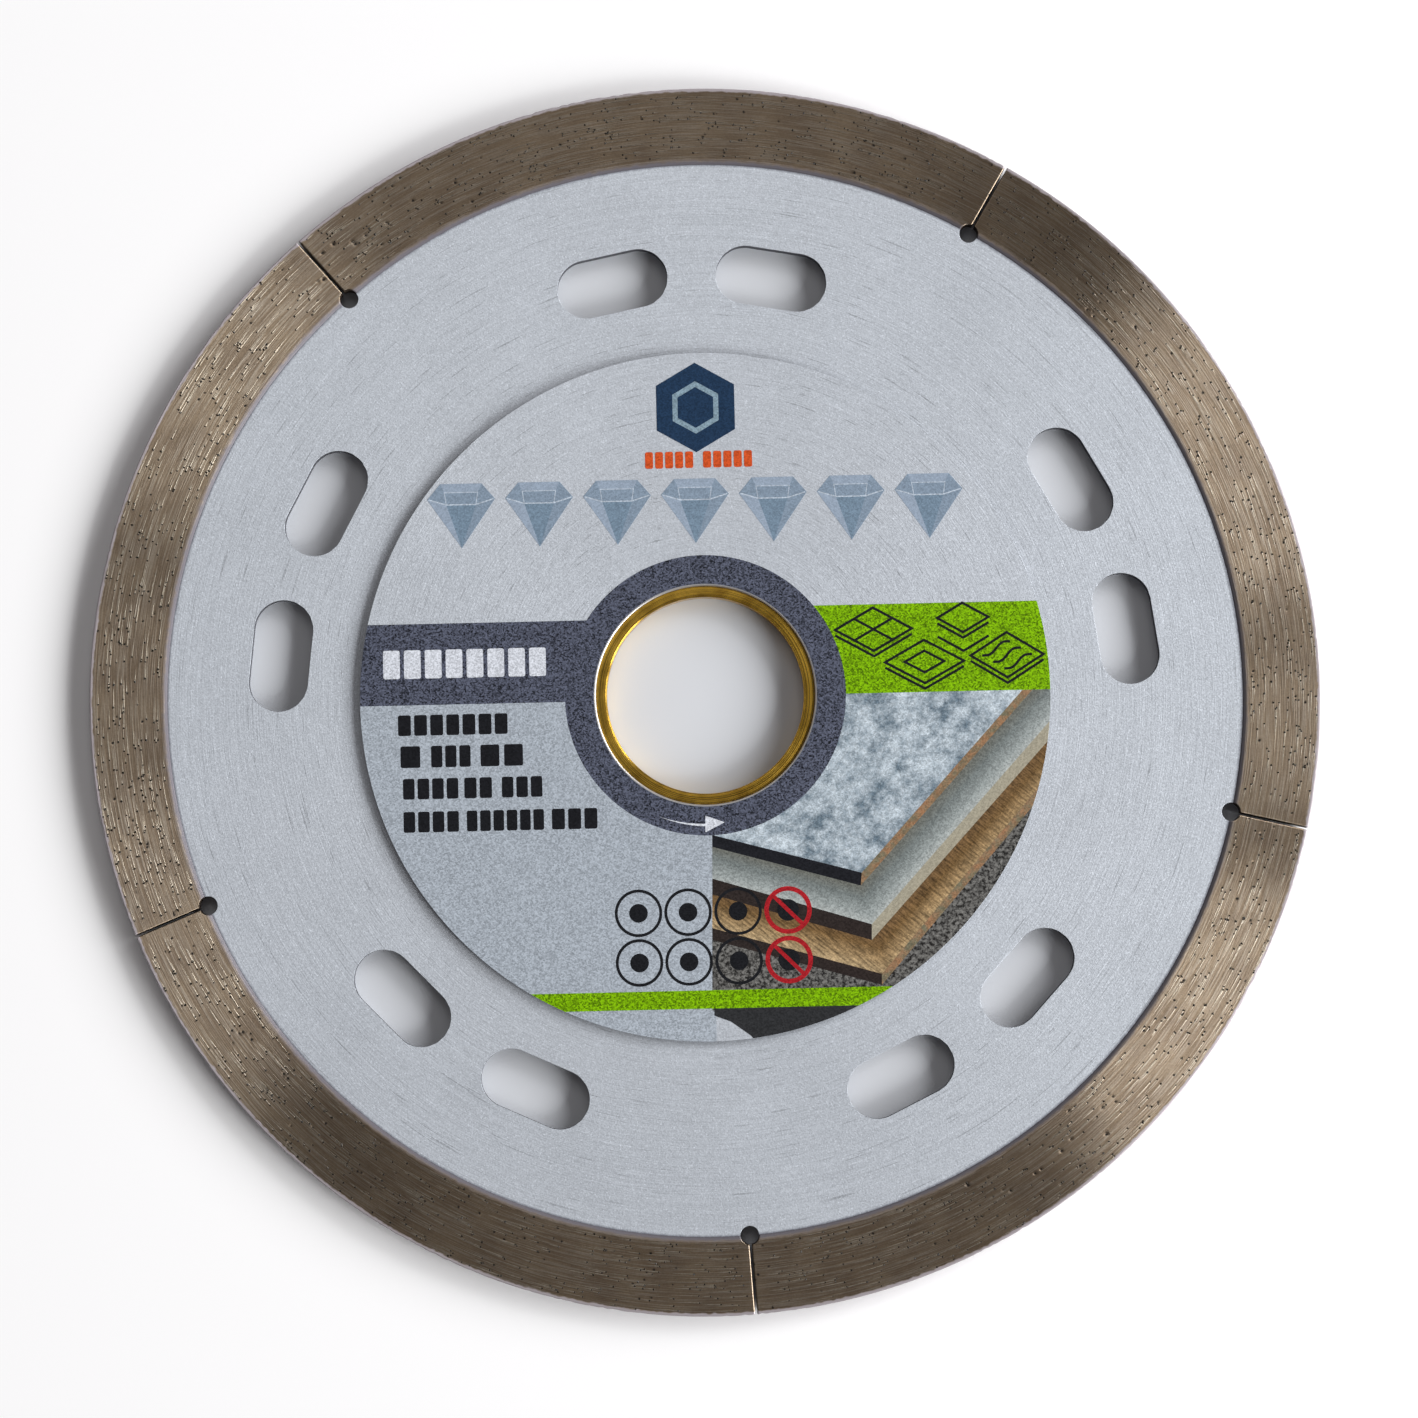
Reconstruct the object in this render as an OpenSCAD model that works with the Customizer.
// Diamond cutting disc for ceramic tile, lying flat with its printed face up.
// The origin is the middle of the bore at mid-thickness, and +Z runs along the arbor.

/* [Blade] */
// Diameter over the diamond rim
blade_d = 125; // [115:0.5:140]
// Diameter of the steel disc, where the diamond rim starts
core_d = 109.2; // [104:0.1:112]
// Thickness of the steel disc
core_t = 1.2; // [1:0.05:1.5]
// Thickness of the diamond rim, a little proud of the disc on both sides
rim_t = 1.6; // [1.55:0.05:2.2]
// Bevel on the outer edges of the rim
rim_edge = 0.15; // [0.05:0.01:0.3]
// Width of the slope where the rim rises from the disc
rim_foot = 0.6; // [0.1:0.05:1]

/* [Expansion slits] */
// Width of the narrow cuts that divide the rim
slit_w = 0.25; // [0.15:0.01:0.5]
// Diameter of the relief hole at the inner end of each cut
keyhole_d = 1.9; // [1.4:0.1:2.6]

/* [Cooling slots] */
// Number of slot pairs
slot_pairs = 5; // [3:1:6]
// Length of a slot, end to end
slot_l = 11.4; // [8:0.1:13]
// Width of a slot
slot_w = 6; // [4:0.1:7]
// Radius on which the slots are centred
slot_pitch_r = 43.3; // [42:0.1:46]
// Angle between a slot and the middle of its pair
slot_half_gap = 10.8; // [10:0.1:14]
// Angle of the first pair's middle, from +X
slot_turn = 91.9; // [0:0.1:360]

/* [Hub] */
// Diameter of the hub plates at their raised face
hub_d = 70; // [60:0.1:71]
// Thickness of each hub plate
hub_t = 0.6; // [0.3:0.05:0.8]
// Width of the sloping edge around each hub plate
hub_slope = 0.2; // [0.1:0.1:1.5]
// Arbor bore through the disc and the hub plates
bore_d = 22.23; // [22.2:0.01:25.4]
// Bevel at the mouth of the bore
bore_bevel = 0.25; // [0.1:0.01:0.28]

/* [Reducing ring] */
// Bore of the loose ring, for a thinner arbor
ring_bore_d = 20; // [15.88:0.01:20.5]
// Thickness of the loose ring
ring_t = 2; // [1:0.05:2.2]
// Gap all round between the ring and the arbor bore
ring_gap = 0.02; // [0.01:0.01:0.05]
// Bevel on the edges of the ring
ring_bevel = 0.15; // [0.05:0.01:0.2]

/* [Printed face] */
// Thickness of the printed film
print_t = 0.05; // [0.03:0.01:0.1]
// Bare steel left between the arbor bore and the film
print_gap = 0.35; // [0.3:0.05:2]
// Bare margin between the film and the edge of the hub face
print_margin = 0.1; // [0.05:0.05:1]

/* [Hidden] */

// Directions of the cuts from +X, which are spaced a little unevenly
slit_at = [60.4, 131.9, 203, 274.7, 347.5];
slit_count = len(slit_at);

core_r = core_d / 2;
blade_r = blade_d / 2;
hub_r = hub_d / 2;
bore_r = bore_d / 2;
ring_r = bore_r - ring_gap;
ring_bore_r = ring_bore_d / 2;
hub_top = core_t / 2 + hub_t;
slot_centres = slot_l - slot_w;
// Overshoot that lets a cutter pass clean through a face
past = 1;

$fn = 128;

// Everything that is cut through the disc and the rim is taller than both
module through(height = rim_t) {
    translate([0, 0, -height / 2 - past])
        linear_extrude(height = height + 2 * past)
            children();
}

// Outline of one cooling slot, long side along X
module slot_outline() {
    square([slot_centres, slot_w], center = true);
    for (side = [-1, 1])
        translate([side * slot_centres / 2, 0])
            circle(d = slot_w);
}

// Every cooling slot, in pairs around the disc
module slot_outlines() {
    for (pair = [0 : slot_pairs - 1], side = [-1, 1])
        rotate(slot_turn + pair * 360 / slot_pairs + side * slot_half_gap - 90)
            translate([0, slot_pitch_r])
                slot_outline();
}

// A relief hole and the narrow cut from it out past the rim, along +X
module slit_outline() {
    translate([core_r, 0])
        circle(d = keyhole_d);
    translate([core_r, -slit_w / 2])
        square([blade_r - core_r + past, slit_w]);
}

// Steel disc that carries everything, with its bore, slots and relief holes
module core_disc() {
    color("lightsteelblue")
        difference() {
            cylinder(d = core_d, h = core_t, center = true);
            through() circle(d = bore_d);
            through() slot_outlines();
            for (angle = slit_at)
                rotate([0, 0, angle])
                    through() slit_outline();
        }
}

// Half section of the rim: a sloping foot on the disc and bevelled outer edges
module rim_section() {
    polygon([
        [core_r, -core_t / 2],
        [core_r + rim_foot, -rim_t / 2],
        [blade_r - rim_edge, -rim_t / 2],
        [blade_r, -rim_t / 2 + rim_edge],
        [blade_r, rim_t / 2 - rim_edge],
        [blade_r - rim_edge, rim_t / 2],
        [core_r + rim_foot, rim_t / 2],
        [core_r, core_t / 2]
    ]);
}

// Sintered diamond segment between one cut and the next
module rim_segment(index) {
    start = slit_at[index];
    next = slit_at[(index + 1) % slit_count];
    span = next > start ? next - start : next - start + 360;
    color("dimgray")
        difference() {
            rotate([0, 0, start])
                rotate_extrude(angle = span)
                    rim_section();
            for (angle = [start, next])
                rotate([0, 0, angle])
                    through() slit_outline();
        }
}

// Half section of a hub plate standing on z = 0, with its slope and bore bevel
module hub_section() {
    polygon([
        [bore_r, 0],
        [hub_r + hub_slope, 0],
        [hub_r, hub_t],
        [bore_r + bore_bevel, hub_t],
        [bore_r, hub_t - bore_bevel]
    ]);
}

// Reinforcing plate on the face that the disc shows
module front_hub_plate() {
    color("lightsteelblue")
        translate([0, 0, core_t / 2])
            rotate_extrude()
                hub_section();
}

// Matching plate on the other face
module rear_hub_plate() {
    color("lightsteelblue")
        mirror([0, 0, 1])
            translate([0, 0, core_t / 2])
                rotate_extrude()
                    hub_section();
}

// Loose brass ring that fits the blade to a thinner arbor
module reducing_ring() {
    color("gold")
        rotate_extrude()
            polygon([
                [ring_bore_r, -ring_t / 2 + ring_bevel],
                [ring_bore_r + ring_bevel, -ring_t / 2],
                [ring_r - ring_bevel, -ring_t / 2],
                [ring_r, -ring_t / 2 + ring_bevel],
                [ring_r, ring_t / 2 - ring_bevel],
                [ring_r - ring_bevel, ring_t / 2],
                [ring_bore_r + ring_bevel, ring_t / 2],
                [ring_bore_r, ring_t / 2 - ring_bevel]
            ]);
}

// Film of ink and lacquer that carries the print
module printed_label() {
    color("olivedrab")
        translate([0, 0, hub_top])
            difference() {
                cylinder(r = hub_r - print_margin, h = print_t);
                translate([0, 0, -past])
                    cylinder(r = bore_r + print_gap, h = print_t + 2 * past);
            }
}

core_disc();
rim_segment(0);  // rim_segment_1
rim_segment(1);  // rim_segment_2
rim_segment(2);  // rim_segment_3
rim_segment(3);  // rim_segment_4
rim_segment(4);  // rim_segment_5
front_hub_plate();
rear_hub_plate();
reducing_ring();
printed_label();
